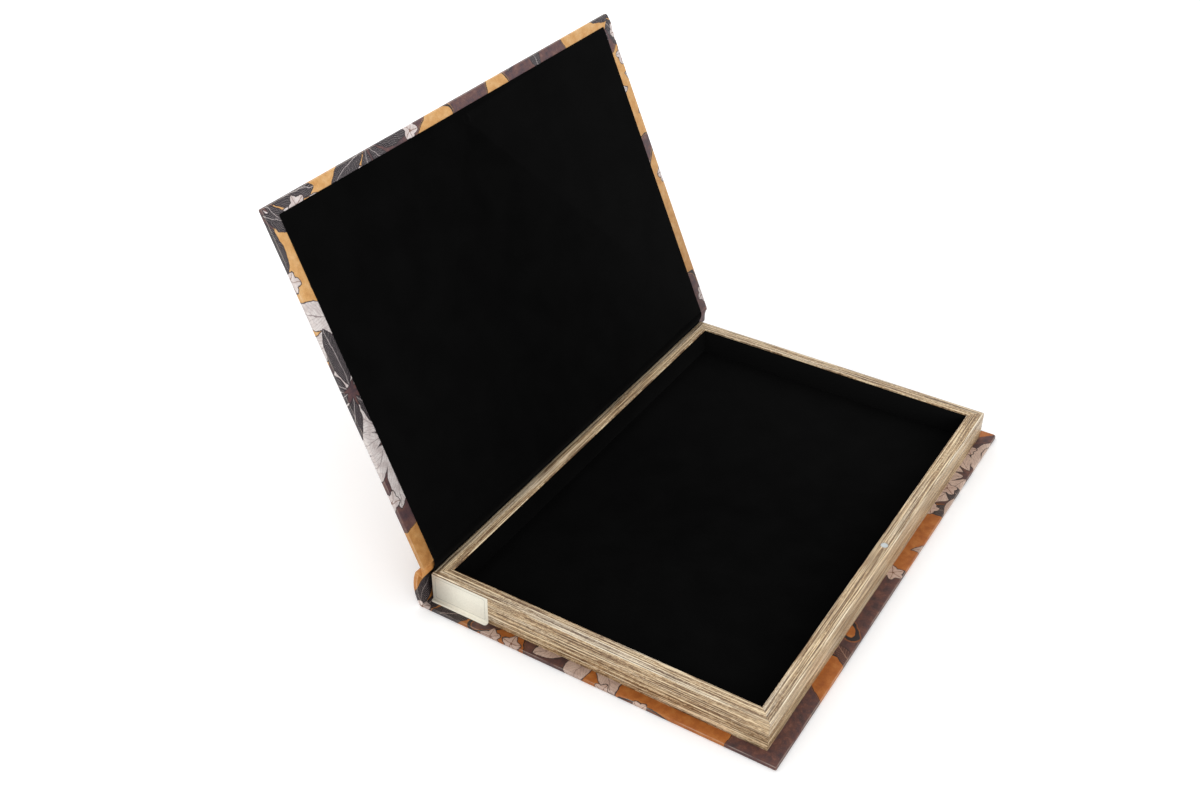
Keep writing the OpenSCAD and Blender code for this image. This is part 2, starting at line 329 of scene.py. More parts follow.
def cover_sheet(name, body, x0, z0, outer_up, u_start, u_sign, node, matrix=None, proud_fold=False):
    """The printed sheet round a board: its outer face, three rounded edges and the turn-ins."""
    bm = box_mesh((x0, -COVER_Y, z0), (FORE_X, COVER_Y, z0 + BOARD_THICK))
    for side, radius in ((-1, TAIL_CORNER_ROUND), (1, CORNER_ROUND)):
        upright = [e for e in bm.edges if abs(e.verts[0].co.z - e.verts[1].co.z) > 1
                   and e.verts[0].co.x > x0 + 1 and side * e.verts[0].co.y > 0]
        bmesh.ops.bevel(bm, geom=upright, offset=radius, offset_type="OFFSET", segments=6,
                        profile=0.5, affect="EDGES", material=-1)
    rim = [e for e in bm.edges if abs(e.verts[0].co.z - e.verts[1].co.z) < 0.01
           and max(v.co.x for v in e.verts) > x0 + 0.01]
    bmesh.ops.bevel(bm, geom=rim, offset=EDGE_ROUND, offset_type="OFFSET", segments=4,
                    profile=0.5, affect="EDGES", material=-1)
    bm.normal_update()
    bmesh.ops.delete(bm, geom=[f for f in bm.faces if f.normal.x < -0.9], context="FACES")
    inner_x, inner_y = FORE_X - TURN_IN, COVER_Y - TURN_IN
    for back, _ in PROUD_FOLD[1:]:
        cut(bm, (FORE_X - back, 0, 0), (1, 0, 0))
    for side in (1, -1):
        cut(bm, (0, side * inner_y, 0), (0, 1, 0))
        cut(bm, (FORE_X, side * COVER_Y, 0), (1, -side, 0))
    outer_z = z0 + BOARD_THICK if outer_up else z0
    # The opening that the turn-ins leave on the inner face
    window = []
    for face in bm.faces:
        c = face.calc_center_median()
        if abs(c.z - outer_z) > BOARD_THICK - 0.01 and c.x < inner_x and abs(c.y) < inner_y:
            window.append(face)
    bmesh.ops.delete(bm, geom=window, context="FACES")
    map_cover(bm, x0, outer_z, u_start, u_sign)
    if proud_fold:
        raise_fold(bm)
    if matrix:
        bmesh.ops.transform(bm, matrix=matrix, verts=bm.verts)
    bmesh.ops.recalc_face_normals(bm, faces=bm.faces)
    want = Vector((0, 0, 1 if outer_up else -1))
    if matrix:
        want = matrix.to_3x3() @ want
    if max(bm.faces, key=lambda f: f.calc_area()).normal.dot(want) < 0:
        bmesh.ops.reverse_faces(bm, faces=bm.faces)
    thicken(finish_piece(name, bm, PRINT, node, body), SHEET)


def spine_line(steps=28):
    """The spine's outer face from foot to top, and its direction at both."""
    foot, top = Vector(SPINE_FOOT), Vector(SPINE_TOP)
    chord = (top - foot).length
    radius = ((chord / 2) ** 2 + SPINE_BULGE**2) / (2 * SPINE_BULGE)
    along = (top - foot) / chord
    inward = Vector((along.y, -along.x))
    centre = (top + foot) / 2 + (radius - SPINE_BULGE) * inward
    half = math.asin(chord / 2 / radius)
    angles = [half * (2 * i / steps - 1) for i in range(steps + 1)]
    points = [centre + radius * (math.sin(a) * along - math.cos(a) * inward) for a in angles]
    ends = [math.cos(a) * along + math.sin(a) * inward for a in (angles[0], angles[-1])]
    return [tuple(p) for p in points], tuple(ends[0]), tuple(ends[1])


def eased(t):
    """0 to 1 with a soft start and end."""
    t = min(max(t, 0.0), 1.0)
    return t * t * (3 - 2 * t)


def pinched_sections(path, reach, held=0.0):
    """Folded sections along a path from the spine to a board, for the sheet that joins them.

    At the board the fold is as deep as the board is thick. Away from it, the fold thins within
    the reach to its two layers of sheet, and at the head it is held deep for a length before that.
    Over the spine's end it closes the corner, but its inner layer doesn't go below that end.
    """
    run = lengths(path)
    thin = 2 * SHEET
    start = Vector(path[0])
    heading = (Vector(path[1]) - start).normalized()
    corner = SPINE_FOLD
    out = []
    for s, point, side in zip(run, path, normals(path)):
        fade = eased((s - BOARD_THICK) / SPINE_FOLD_FADE)
        corner = min(corner, SPINE_FOLD - (SPINE_FOLD - thin) * fade)
        rise, lean = heading.dot(Vector(point) - start), abs(heading.dot(Vector(side)))
        if lean > 0.01:
            corner = min(corner, max(rise / lean, thin))
        depths = []
        for hold in (0.0, held):
            away = eased((run[-1] - s - hold) / reach)
            depths.append(max(corner, BOARD_THICK - (BOARD_THICK - thin) * away))
        out.append(folded_ends(depths, depths[0]))
    return out


def sag_at_head(bm):
    """Lets the joint's sheet hang where it passes the tray's head end and nothing carries it."""
    for v in bm.verts:
        past = eased((v.co.y - SAG_FROM_Y) / SAG_LENGTH_Y)
        free = eased((v.co.x - SAG_FROM_X) / SAG_LENGTH_X) * eased((SAG_TOP - v.co.z) / SAG_LENGTH_Z)
        v.co.z -= HEAD_SAG * past * free


# Finishes


def srgb(text):
    """A hex colour as linear red, green, blue and alpha."""
    parts = [int(text[i:i + 2], 16) / 255 for i in (1, 3, 5)]
    return (*[c / 12.92 if c <= 0.04045 else ((c + 0.055) / 1.055) ** 2.4 for c in parts], 1.0)


def add(tree, kind, inputs=None, stops=(), **settings):
    """Adds a node with its settings; an input is a value, a socket, or a node's first output in use.

    The stops of a colour ramp are (place, hex) pairs.
    """
    node = tree.nodes.new("ShaderNode" + kind)
    for key, value in settings.items():
        setattr(node, key, value)
    for key, value in (inputs or {}).items():
        if isinstance(value, bpy.types.Node):
            value = next(o for o in value.outputs if o.enabled)
        if isinstance(value, bpy.types.NodeSocket):
            tree.links.new(value, node.inputs[key])
        else:
            node.inputs[key].default_value = value
    for i, (place, colour) in enumerate(stops):
        if i == len(node.color_ramp.elements):
            node.color_ramp.elements.new(1.0)
        element = node.color_ramp.elements[i]
        element.position, element.color = place, srgb(colour)
    return node


def blank(name):
    """A new material with nothing in it."""
    material = bpy.data.materials.new(name)
    material.use_nodes = True
    material.node_tree.nodes.clear()
    return material, material.node_tree


def object_mm(tree):
    """The object's own coordinates in millimetres."""
    coords = add(tree, "TexCoord")
    return add(tree, "VectorMath", {0: coords.outputs["Object"], "Scale": 1 / MM}, operation="SCALE")


def scatter(tree, vector, cell, seed, stray):
    """Cells of a scattered motif: the place about its middle in mm, turned at random, and chances."""
    unit = add(tree, "VectorMath", {0: vector, 1: (1 / cell, 1 / cell, 0), 2: (seed, 0.7 * seed, 0)},
               operation="MULTIPLY_ADD")
    cells = add(tree, "TexVoronoi", {"Vector": unit, "Scale": 1.0, "Randomness": stray},
                voronoi_dimensions="2D", feature="F1")
    local = add(tree, "VectorMath", {0: unit, 1: cells.outputs["Position"]}, operation="SUBTRACT")
    sized = add(tree, "VectorMath", {0: local, "Scale": cell}, operation="SCALE")
    chance = add(tree, "SeparateColor", {0: cells.outputs["Color"]})
    angle = add(tree, "Math", {0: chance.outputs[0], 1: 2 * math.pi}, operation="MULTIPLY")
    return add(tree, "VectorRotate", {"Vector": sized, "Angle": angle}, rotation_type="Z_AXIS"), chance


def petals(tree, place, count, root, reach, width):
    """A ring of pointed petals: mm inside their edge, mm along one and mm beside its middle line."""
    xy = add(tree, "SeparateXYZ", {0: place})
    radius = add(tree, "VectorMath", {0: place}, operation="LENGTH").outputs["Value"]
    angle = add(tree, "Math", {0: xy.outputs[1], 1: xy.outputs[0]}, operation="ARCTAN2")
    turns = add(tree, "Math", {0: angle, 1: count / (2 * math.pi)}, operation="MULTIPLY")
    whole = add(tree, "Math", {0: turns}, operation="ROUND")
    folded = add(tree, "Math", {0: whole, 1: -2 * math.pi / count, 2: angle}, operation="MULTIPLY_ADD")
    cosine = add(tree, "Math", {0: folded}, operation="COSINE")
    sine = add(tree, "Math", {0: folded}, operation="SINE")
    along = add(tree, "Math", {0: radius, 1: cosine}, operation="MULTIPLY")
    aside = add(tree, "Math", {0: radius, 1: sine}, operation="MULTIPLY")
    beside = add(tree, "Math", {0: aside}, operation="ABSOLUTE")
    half = (reach - root) / 2
    arc = (half**2 + width**2) / (2 * width)
    x = add(tree, "Math", {0: along, 1: (reach + root) / 2}, operation="SUBTRACT")
    y = add(tree, "Math", {0: beside, 1: arc - width}, operation="ADD")
    spot = add(tree, "CombineXYZ", {0: x, 1: y})
    away = add(tree, "VectorMath", {0: spot}, operation="LENGTH").outputs["Value"]
    inside = add(tree, "Math", {0: arc, 1: away}, operation="SUBTRACT")
    return inside, along, beside


def veins(tree, along, beside, spacing, slant, share):
    """Thin lines that branch from a petal's middle line, as a mask."""
    skew = add(tree, "Math", {0: beside, 1: -slant, 2: along}, operation="MULTIPLY_ADD")
    phase = add(tree, "Math", {0: skew, 1: 1 / spacing}, operation="MULTIPLY")
    saw = add(tree, "Math", {0: phase}, operation="FRACT")
    line = add(tree, "Math", {0: saw, 1: share}, operation="LESS_THAN")
    rib = add(tree, "Math", {0: beside, 1: 0.22}, operation="LESS_THAN")
    return add(tree, "Math", {0: line, 1: rib}, operation="MAXIMUM")


# The print's motifs, from the largest down: mm between them, where they fall and how far they stray;
# petals with their number, root, reach and half width; the share of places that has one; how much its
# ink changes from one to the next, and the inks; veins with spacing, slant and width, and their ink
MOTIFS = (
    (118.0, 3.3, 0.45, (9, 7.0, 47.0, 8.0), 0.6, 0.0, [(0.35, "#cfc3c0"), (0.6, "#e6dedb")],
     (3.4, 1.5, 0.07), "#9a8c8c"),
    (96.0, 7.9, 0.5, (7, 4.0, 41.0, 6.6), 0.6, 0.0, [(0.35, "#262126"), (0.65, "#332c31")],
     (2.1, 1.9, 0.1), "#b3a9a8"),
    (44.0, 1.7, 0.6, (1, -16.0, 16.0, 5.2), 0.4, 1.0,
     [(0.3, "#3a2b2f"), (0.5, "#6b4b45"), (0.8, "#d8cdc9")], (2.6, 1.4, 0.09), "#a88f80"),
    (27.0, 5.1, 0.7, (5, -1.0, 7.2, 2.9), 0.3, 0.0, [(0.4, "#d3c5c1"), (0.6, "#e4d9d6")],
     (7.0, 0.0, 0.12), "#8a6a5c"),
)


def printed_paper():
    """Art paper printed with leaves and rosettes, embossed with fine leather grain and varnished.

    Its inks look painted: mottled amber and brown, near-black violet leaves with pale veins,
    and greyish white. The varnish gives a broad soft gloss, and the folds are paler.
    """
    material, tree = blank("printed_paper_leather_grain")
    sheet = add(tree, "UVMap", uv_map="sheet")
    flat = add(tree, "VectorMath", {0: sheet, 1: PRINT_SHIFT}, operation="ADD")
    wide = add(tree, "TexNoise", {"Vector": flat, "Scale": 0.07, "Detail": 2.0}, noise_dimensions="2D")
    near = add(tree, "TexNoise", {"Vector": flat, "Scale": 0.9, "Detail": 2.0}, noise_dimensions="2D")
    drawn = add(tree, "VectorMath", {0: wide.outputs["Color"], 1: (5.0, 5.0, 0), 2: flat},
                operation="MULTIPLY_ADD")
    drawn = add(tree, "VectorMath", {0: near.outputs["Color"], 1: (0.7, 0.7, 0), 2: drawn},
                operation="MULTIPLY_ADD")
    mottle = add(tree, "TexNoise", {"Vector": flat, "Scale": 0.16, "Detail": 6.0, "Roughness": 0.65},
                 noise_dimensions="2D")
    speck = add(tree, "TexNoise", {"Vector": flat, "Scale": 1.4, "Detail": 3.0}, noise_dimensions="2D")
    axes = add(tree, "SeparateXYZ", {0: sheet})
    # Ground: amber wash, deep on the back cover and paler on the front one
    deep = add(tree, "ValToRGB", {"Fac": mottle},
               stops=[(0.3, "#a8652a"), (0.5, "#bc7734"), (0.7, "#c98b48")])
    light = add(tree, "ValToRGB", {"Fac": mottle},
                stops=[(0.3, "#cd9557"), (0.5, "#dba768"), (0.7, "#e3b67f")])
    wash = add(tree, "TexNoise", {"Vector": flat, "Scale": 0.006, "Detail": 2.0}, noise_dimensions="2D")
    wash = add(tree, "Math", {0: wash, 1: 300.0, 2: axes.outputs[0]}, operation="MULTIPLY_ADD")
    wash = add(tree, "MapRange", {"Value": wash, "From Min": 110.0, "From Max": 300.0})
    colour = add(tree, "Mix", {0: wash, 6: deep, 7: light}, data_type="RGBA")
    # Hills: brown with pink grains and a dark rim
    hill = add(tree, "TexNoise", {"Vector": drawn, "Scale": 0.013, "Detail": 1.0}, noise_dimensions="2D")
    brown = add(tree, "ValToRGB", {"Fac": mottle},
                stops=[(0.3, "#44383d"), (0.45, "#594247"), (0.58, "#6b4c48"), (0.72, "#82605a")])
    grains = add(tree, "MapRange", {"Value": speck, "From Min": 0.62, "From Max": 0.72, "To Max": 0.45})
    brown = add(tree, "Mix", {0: grains, 6: brown, 7: srgb("#9c7868")}, data_type="RGBA")
    on_hill = add(tree, "MapRange", {"Value": hill, "From Min": 0.515, "From Max": 0.52})
    colour = add(tree, "Mix", {0: on_hill, 6: colour, 7: brown}, data_type="RGBA")
    rim = add(tree, "Math", {0: hill, 1: 0.512, 2: 0.004}, operation="COMPARE")
    colour = add(tree, "Mix", {0: rim, 6: colour, 7: srgb("#2b2529")}, data_type="RGBA")
    # Motifs, each with a dark outline and its veins
    for cell, seed, stray, petal, share, change, inks, vein, vein_ink in MOTIFS:
        place, chance = scatter(tree, drawn, cell, seed, stray)
        inside, along, beside = petals(tree, place, *petal)
        chosen = add(tree, "Math", {0: chance.outputs[1], 1: share}, operation="LESS_THAN")
        for edge, ink in ((0.6, "#3a2f33"), (0.0, None)):
            mask = add(tree, "MapRange", {"Value": inside, "From Min": -0.12 - edge,
                                          "From Max": 0.12 - edge}, interpolation_type="SMOOTHSTEP")
            mask = add(tree, "Math", {0: mask, 1: chosen}, operation="MULTIPLY")
            shade = add(tree, "Mix", {0: change, 2: mottle, 3: chance.outputs[2]}, data_type="FLOAT")
            fill = srgb(ink) if ink else add(tree, "ValToRGB", {"Fac": shade}, stops=inks)
            colour = add(tree, "Mix", {0: mask, 6: colour, 7: fill}, data_type="RGBA")
        lines = add(tree, "Math", {0: veins(tree, along, beside, *vein), 1: mask}, operation="MULTIPLY")
        colour = add(tree, "Mix", {0: lines, 6: colour, 7: srgb(vein_ink)}, data_type="RGBA")
    # The colour is darker and warmer towards the back cover
    back = add(tree, "MapRange", {"Value": axes.outputs[0], "From Min": 20.0, "From Max": -60.0})
    colour = add(tree, "Mix", {0: back, 6: colour, 7: srgb("#e7d3c4")}, data_type="RGBA",
                 blend_type="MULTIPLY")
    # Paler lines along the folds, two folds to an edge, either side of the edge's middle; both
    # fore edges are equally far from a line that is a little off the spine's middle
    off_spine, fore_edge, side_edge, to_fold = 2.3, 273.16, 189.65, 1.33
    shifted = add(tree, "Math", {0: axes.outputs[0], 1: off_spine}, operation="SUBTRACT")
    fold_distance = 10.0
    for value, centre in ((shifted, fore_edge), (axes.outputs[1], side_edge)):
        off = add(tree, "Math", {0: value}, operation="ABSOLUTE")
        for distance in (centre, to_fold):
            off = add(tree, "Math", {0: off, 1: distance}, operation="SUBTRACT")
            off = add(tree, "Math", {0: off}, operation="ABSOLUTE")
        fold_distance = add(tree, "Math", {0: off, 1: fold_distance}, operation="MINIMUM")
    fold = add(tree, "MapRange", {"Value": fold_distance, "From Min": 0.35, "From Max": 0.0, "To Max": 0.35})
    uneven = add(tree, "TexNoise", {"Vector": flat, "Scale": 0.05, "Detail": 5.0}, noise_dimensions="2D")
    uneven = add(tree, "MapRange", {"Value": uneven, "From Min": 0.38, "From Max": 0.54})
    pale_fold = add(tree, "Math", {0: fold, 1: uneven}, operation="MULTIPLY")
    colour = add(tree, "Mix", {0: pale_fold, 6: colour, 7: srgb("#e8d9c8")}, data_type="RGBA")
    # Leather grain: pebbles about 0.7 mm across
    grain = add(tree, "TexVoronoi", {"Vector": flat, "Scale": 1.4, "Randomness": 1.0},
                voronoi_dimensions="2D", feature="SMOOTH_F1")
    weave = add(tree, "TexNoise", {"Vector": flat, "Scale": 2.6, "Detail": 2.0}, noise_dimensions="2D")
    height = add(tree, "Math", {0: grain.outputs["Distance"], 1: weave}, operation="ADD")
    bump = add(tree, "Bump", {"Height": height, "Strength": 0.25, "Distance": 0.0001})
    shade = add(tree, "MapRange", {"Value": weave, "From Min": 0.3, "From Max": 0.7,
                                   "To Min": 0.84, "To Max": 1.12})
    colour = add(tree, "VectorMath", {0: colour, "Scale": shade}, operation="SCALE")
    rough = add(tree, "MapRange", {"Value": speck, "To Min": 0.42, "To Max": 0.62})
    surface = add(tree, "BsdfPrincipled", {"Base Color": colour, "Roughness": rough, "Normal": bump,
                                           "IOR": 1.5, "Specular IOR Level": 0.35})
    add(tree, "OutputMaterial", {"Surface": surface})
    return material


def page_foil():
    """Decor foil printed like the edges of a book's pages, wrapped round fibreboard mouldings.

    Long thin streaks in tans follow the moulding and meet at the mitres. The foil is semi-matt,
    so it also shows a soft reflection of what stands behind it.
    """
    material, tree = blank("page_edge_foil")
    x, y, z = add(tree, "SeparateXYZ", {0: object_mm(tree)}).outputs
    # mm across the foil, from a rail's inner edge over its top and down its side; mm along the rail;
    # and a seed for each rail
    past_x = add(tree, "Math", {0: x}, operation="ABSOLUTE")
    past_x = add(tree, "Math", {0: past_x, 1: TRAY_X - RAIL_WIDTH}, operation="SUBTRACT")
    past_y = add(tree, "Math", {0: y}, operation="ABSOLUTE")
    past_y = add(tree, "Math", {0: past_y, 1: TRAY_Y - RAIL_WIDTH}, operation="SUBTRACT")
    on_long = add(tree, "Math", {0: past_x, 1: past_y}, operation="GREATER_THAN")
    across = add(tree, "Math", {0: past_x, 1: past_y}, operation="MAXIMUM")
    down = add(tree, "Math", {0: TRAY_TOP, 1: z}, operation="SUBTRACT")
    across = add(tree, "Math", {0: across, 1: down}, operation="ADD")
    along = add(tree, "Mix", {0: on_long, 2: x, 3: y}, data_type="FLOAT")
    side_x = add(tree, "Math", {0: x}, operation="SIGN")
    side_y = add(tree, "Math", {0: y}, operation="SIGN")
    side_y = add(tree, "Math", {0: side_y, 1: 7.3}, operation="ADD")
    seed = add(tree, "Mix", {0: on_long, 2: side_y, 3: side_x}, data_type="FLOAT")

    def streak(long_step, thin_step, shift, detail=2.0, rough=0.6, thin=across):
        """Noise drawn out along the moulding, by the length and width of its streaks in mm."""
        down_length = add(tree, "Math", {0: along, 1: long_step}, operation="DIVIDE")
        down_width = add(tree, "Math", {0: thin, 1: thin_step}, operation="DIVIDE")
        slice_at = add(tree, "Math", {0: seed, 1: 3.1, 2: shift}, operation="MULTIPLY_ADD")
        spot = add(tree, "CombineXYZ", {0: down_length, 1: down_width, 2: slice_at})
        return add(tree, "TexNoise", {"Vector": spot, "Scale": 1.0, "Detail": detail, "Roughness": rough})

    drift = 0.3
    drifted = add(tree, "Math", {0: streak(55.0, 9.0, 11.0, 1.0), 1: drift, 2: across},
                  operation="MULTIPLY_ADD")
    lines = streak(80.0, 0.7, 0.0, 2.0, 0.65, drifted)
    threads = streak(30.0, 0.33, 31.0, 1.0, 0.5, drifted)
    bands = streak(120.0, 4.5, 57.0, 1.0)
    flecks = streak(2.2, 0.3, 83.0, 1.0)
    clear = add(tree, "MapRange", {"Value": streak(13.0, 3.4, 71.0, 1.0), "From Min": 0.36,
                                   "From Max": 0.6, "To Min": 0.6, "To Max": 1.5})
    # The sum about its middle, with the lines clear in places and lost in others
    mixed = add(tree, "Math", {0: threads, 1: 1.2, 2: lines}, operation="MULTIPLY_ADD")
    mixed = add(tree, "Math", {0: mixed, 1: 1.1}, operation="SUBTRACT")
    mixed = add(tree, "Math", {0: mixed, 1: clear}, operation="MULTIPLY")
    mixed = add(tree, "Math", {0: flecks, 1: 0.75, 2: mixed}, operation="MULTIPLY_ADD")
    mixed = add(tree, "Math", {0: bands, 1: 0.25, 2: mixed}, operation="MULTIPLY_ADD")
    tone = add(tree, "MapRange", {"Value": mixed, "From Min": 0.31, "From Max": 0.675})
    tan = add(tree, "ValToRGB", {"Fac": tone},
              stops=[(0.1, "#604428"), (0.3, "#917250"), (0.5, "#b29169"), (0.7, "#cbad84"),
                     (0.92, "#efd9b3")])
    grey = add(tree, "ValToRGB", {"Fac": tone},
               stops=[(0.1, "#5e4c3a"), (0.3, "#8f7a63"), (0.5, "#ae987d"), (0.7, "#c8b397"),
                      (0.92, "#ecddc5")])
    greyish = add(tree, "MapRange", {"Value": bands, "From Min": 0.5, "From Max": 0.7})
    colour = add(tree, "Mix", {0: greyish, 6: tan, 7: grey}, data_type="RGBA")
    # Printed lines that run on, now stronger and now weaker: across, half width, ink, most. The pale line
    # at 9.75 mm, on the rail's shoulder, is a painted highlight
    for centre, half, ink, most in ((0.75, 0.2, "#6d5033", 0.8), (1.25, 0.28, "#eed9b4", 0.6),
                                    (2.5, 0.22, "#6f5336", 0.8), (4.0, 0.26, "#ecd6b2", 0.55),
                                    (4.9, 0.2, "#74583a", 0.75), (7.1, 0.26, "#61462b", 0.9),
                                    (8.35, 0.28, "#f4e2c2", 0.75), (8.9, 0.15, "#54401f", 0.65),
                                    (9.75, 0.45, "#f6ead2", 0.8), (12.6, 0.2, "#6d5335", 0.6),
                                    (16.0, 0.3, "#e6d4b0", 0.5), (20.3, 0.2, "#735939", 0.6),
                                    (23.7, 0.22, "#644b2d", 0.7), (27.2, 0.2, "#6d5335", 0.6)):
        line = add(tree, "Math", {0: drifted, 1: centre + drift / 2, 2: half}, operation="COMPARE")
        weight = add(tree, "MapRange", {"Value": streak(28.0, 1.0, 7.7 * centre, 1.0, thin=centre),
                                        "From Min": 0.34, "From Max": 0.54, "To Max": most})
        inked = add(tree, "Math", {0: line, 1: weight}, operation="MULTIPLY")
        colour = add(tree, "Mix", {0: inked, 6: colour, 7: srgb(ink)}, data_type="RGBA")
    # The cut at each mitre shows as a thin darker line
    mitre = add(tree, "Math", {0: past_x, 1: past_y, 2: 0.1}, operation="COMPARE")
    mitre = add(tree, "Math", {0: mitre, 1: 0.6}, operation="MULTIPLY")
    colour = add(tree, "Mix", {0: mitre, 6: colour, 7: srgb("#5f4a2e")}, data_type="RGBA")
    # Painted shade: the foil is darkened towards the joint, standing in for the shade that the lid and the
    # hinge's velvet cast there
    joint_shade_scale = add(tree, "MapRange", {"Value": x, "From Min": -116.7, "From Max": -115.4, "To Min": 0.66})
    colour = add(tree, "VectorMath", {0: colour, "Scale": joint_shade_scale}, operation="SCALE")
    height = add(tree, "Math", {0: tone, 1: flecks}, operation="ADD")
    bump = add(tree, "Bump", {"Height": height, "Strength": 0.15, "Distance": 0.00008})
    surface = add(tree, "BsdfPrincipled", {"Base Color": colour, "Roughness": 0.4, "Normal": bump,
                                           "IOR": 1.5, "Specular IOR Level": 0.5})
    add(tree, "OutputMaterial", {"Surface": surface})
    return material


def black_velvet():
    """Short cotton velvet on a paper back: a pile that drinks nearly all light, with a faint nap.

    The tray's end walls are painted a little lighter than the rest: painted light, standing in for the
    sheen of the pile.
    """
    material, tree = blank("black_velvet")
    coords = add(tree, "TexCoord")
    nap = add(tree, "TexNoise", {"Vector": coords.outputs["Object"], "Scale": 45.0, "Detail": 3.0})
    pile = add(tree, "TexNoise", {"Vector": coords.outputs["Object"], "Scale": 2600.0, "Detail": 1.0})
    colour = add(tree, "ValToRGB", {"Fac": nap}, stops=[(0.3, "#050505"), (0.7, "#080808")])
    # Painted light: faces that look along the box, the tray's end walls, are made lighter
    lean = add(tree, "SeparateXYZ", {0: coords.outputs["Normal"]})
    lean = add(tree, "Math", {0: lean.outputs[1]}, operation="ABSOLUTE")
    colour = add(tree, "Mix", {0: lean, 6: colour, 7: srgb("#131313")}, data_type="RGBA")
    bump = add(tree, "Bump", {"Height": pile, "Strength": 0.4, "Distance": 0.0002})
    surface = add(tree, "BsdfPrincipled", {"Base Color": colour, "Roughness": 1.0, "Normal": bump,
                                           "Specular IOR Level": 0.02, "Sheen Weight": 0.012,
                                           "Sheen Roughness": 0.4})
    add(tree, "OutputMaterial", {"Surface": surface})
    return material


def greyboard():
    """Bookbinder's greyboard, pressed from waste paper: dull grey-brown with short fibres."""
    material, tree = blank("greyboard")
    coords = add(tree, "TexCoord")
    fibre = add(tree, "TexNoise", {"Vector": coords.outputs["Object"], "Scale": 700.0, "Detail": 4.0})
    colour = add(tree, "ValToRGB", {"Fac": fibre}, stops=[(0.35, "#77705f"), (0.65, "#989080")])
    bump = add(tree, "Bump", {"Height": fibre, "Strength": 0.3, "Distance": 0.0001})
    surface = add(tree, "BsdfPrincipled", {"Base Color": colour, "Roughness": 0.9, "Normal": bump})
    add(tree, "OutputMaterial", {"Surface": surface})
    return material


def nickel_plate():
    """Nickel-plated magnet, barrel-plated: bright and cool, with fine scuffs."""
    material, tree = blank("nickel_plate")
    coords = add(tree, "TexCoord")
    scuff = add(tree, "TexNoise", {"Vector": coords.outputs["Object"], "Scale": 900.0, "Detail": 3.0})
    rough = add(tree, "MapRange", {"Value": scuff, "To Min": 0.22, "To Max": 0.42})
    surface = add(tree, "BsdfPrincipled", {"Base Color": srgb("#c4c9ca"), "Metallic": 1.0,
                                           "Roughness": rough})
    add(tree, "OutputMaterial", {"Surface": surface})
    return material


def sticker_paper():
    """Matt coated label paper, cream, with one thin grey border line and nothing else on it."""
    material, tree = blank("sticker_paper")
    mm = object_mm(tree)
    x, y, z = add(tree, "SeparateXYZ", {0: mm}).outputs
    # mm down from the sticker's top, over the fold too
    drop = add(tree, "Math", {0: z, 1: y}, operation="ADD")
    drop = add(tree, "Math", {0: TRAY_TOP - RAIL_SHOULDER - TRAY_Y, 1: drop}, operation="SUBTRACT")
    across = add(tree, "Math", {0: x, 1: TRAY_X - LABEL_W / 2}, operation="ADD")
    mid = add(tree, "Math", {0: drop, 1: 10.6}, operation="SUBTRACT")
    inside = []
    for value, half in ((across, LABEL_W / 2 - 2.4), (mid, 8.4)):
        value = add(tree, "Math", {0: value}, operation="ABSOLUTE")
        inside.append(add(tree, "Math", {0: half, 1: value}, operation="SUBTRACT"))
    inside = add(tree, "Math", {0: inside[0], 1: inside[1], 2: 2.0}, operation="SMOOTH_MIN")
    line = add(tree, "Math", {0: inside, 1: 0.0, 2: 0.16}, operation="COMPARE")
    line = add(tree, "Math", {0: line, 1: 0.7}, operation="MULTIPLY")
    fibre = add(tree, "TexNoise", {"Vector": mm, "Scale": 0.8, "Detail": 4.0})
    colour = add(tree, "ValToRGB", {"Fac": fibre}, stops=[(0.3, "#ebe6d6"), (0.7, "#f4efdf")])
    colour = add(tree, "Mix", {0: line, 6: colour, 7: srgb("#a9a99c")}, data_type="RGBA")
    bump = add(tree, "Bump", {"Height": fibre, "Strength": 0.1, "Distance": 0.00005})
    surface = add(tree, "BsdfPrincipled", {"Base Color": colour, "Roughness": 0.6, "Normal": bump,
                                           "Specular IOR Level": 0.3})
    add(tree, "OutputMaterial", {"Surface": surface})
    return material


PRINT = printed_paper()
FOIL = page_foil()
VELVET = black_velvet()
GREYBOARD = greyboard()
NICKEL = nickel_plate()
STICKER = sticker_paper()


# Case

cover_sheet("back_cover_print", "base", BACK_X0, 0.0, outer_up=False, u_start=BACK_U, u_sign=-1,
            node="back_cover_wrap")
cover_sheet("front_cover_print", "lid", LID_X0, LID_Z0, outer_up=True, u_start=FRONT_U, u_sign=1,
            node="front_cover_wrap", matrix=lid_matrix(), proud_fold=True)

spine, foot_heading, top_heading = spine_line()
spine_sections = [folded_ends((BOARD_THICK, BOARD_THICK), BOARD_THICK)] * len(spine)
bm = sweep(spine, spine_sections, 1, -SPINE_HALF)
thicken(finish_piece("spine_print", bm, PRINT, "spine_wrap"), SHEET)

# Under the spine's foot: the sheet comes in from the back board and turns up
foot_side = (-foot_heading[1], foot_heading[0])
foot = (spine[0][0] - SHEET / 2 * foot_side[0], spine[0][1] - SHEET / 2 * foot_side[1])
start = (foot[0] - SHEET * foot_heading[0], foot[1] - SHEET * foot_heading[1])
flat = (foot[0] + 2 * SPINE_FOOT[1] + SHEET, SHEET / 2)
down = (-foot_heading[0], -foot_heading[1])
under = [foot, start] + bend(start, down, 0.2, flat, (1, 0), 0.4, 8) + [(BACK_X0, SHEET / 2)]
under = moved_out(under, -SHEET / 2)[::-1]
bm = sweep(under, pinched_sections(under[::-1], reach=1.6)[::-1], 1, BACK_U)
thicken(finish_piece("back_joint_print", bm, PRINT, "back_joint"), JOINT_SHEET, False)

